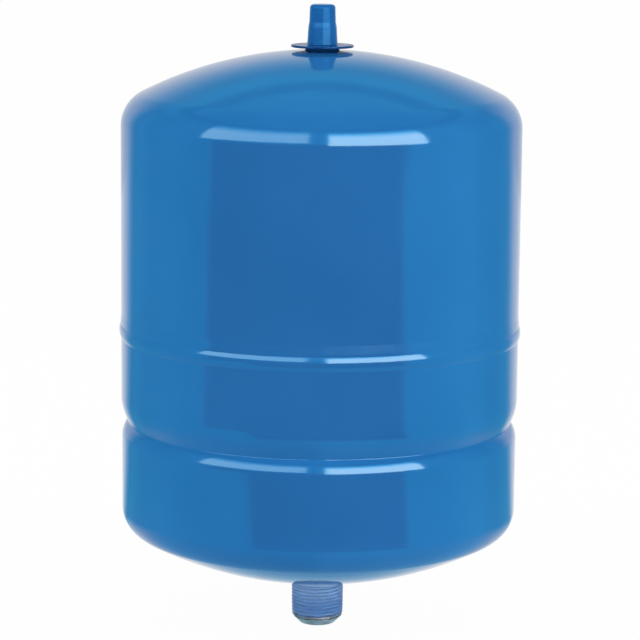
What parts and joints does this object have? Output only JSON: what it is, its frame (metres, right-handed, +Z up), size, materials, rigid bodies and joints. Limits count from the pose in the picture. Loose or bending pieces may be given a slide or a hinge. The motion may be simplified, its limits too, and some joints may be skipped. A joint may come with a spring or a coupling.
{
  "type": "well pressure tank",
  "caption": "In-line well pressure tank: lapped and welded steel shell holding a clenched rubber diaphragm, threaded connection below, capped air valve on top",
  "frame": {"origin": "centre of the end face of the threaded system connection, the lowest point", "axes": "+Z up along the tank's axis, from the system connection to the air valve; X and Y are free, as the tank is round"},
  "size_m": [0.2052, 0.2052, 0.3205],
  "materials": {
    "shell_enamel": "gloss blue enamel",
    "turned_steel": "turned steel with thin blue overspray near the shell",
    "plain_steel": "rolled strip",
    "spring_steel": "drawn wire",
    "valve_brass": "turned",
    "butyl_rubber": "matt moulded",
    "seal_rubber": "moulded",
    "seal_polymer": "cut ring",
    "liner_polypropylene": "moulded, satin",
    "cap_plastic": "moulded, satin gloss"
  },
  "bodies": {
    "tank": {"upper_shell": "shell_enamel", "lower_shell": "shell_enamel", "girth_weld": "shell_enamel", "clench_ring": "plain_steel", "diaphragm": "butyl_rubber", "water_liner": "liner_polypropylene", "liner_o_ring": "seal_rubber", "port_grille": "liner_polypropylene", "nipple": "turned_steel", "nipple_weld": "shell_enamel", "valve_boss": "shell_enamel", "boss_weld": "shell_enamel", "valve_gasket": "seal_rubber", "valve_body": "valve_brass", "core_head": "valve_brass", "core_barrel": "valve_brass", "core_seal": "seal_polymer", "core_spring": "spring_steel"},
    "valve_pin": {"core_pin": "valve_brass", "poppet": "valve_brass", "poppet_seal": "seal_rubber"},
    "cap": {"valve_cap": "cap_plastic"}
  },
  "joints": [
    {"name": "cap_pull", "type": "slide", "parent": "tank", "child": "cap", "axis": [0, 0, 1], "range_m": [0, 0.03]},
    {"name": "pin_press", "type": "slide", "parent": "tank", "child": "valve_pin", "axis": [0, 0, -1], "range_m": [0, 0.0012], "stiffness_N_per_m": 500, "springref_m": -0.002, "deforming": ["core_spring"]}
  ]
}
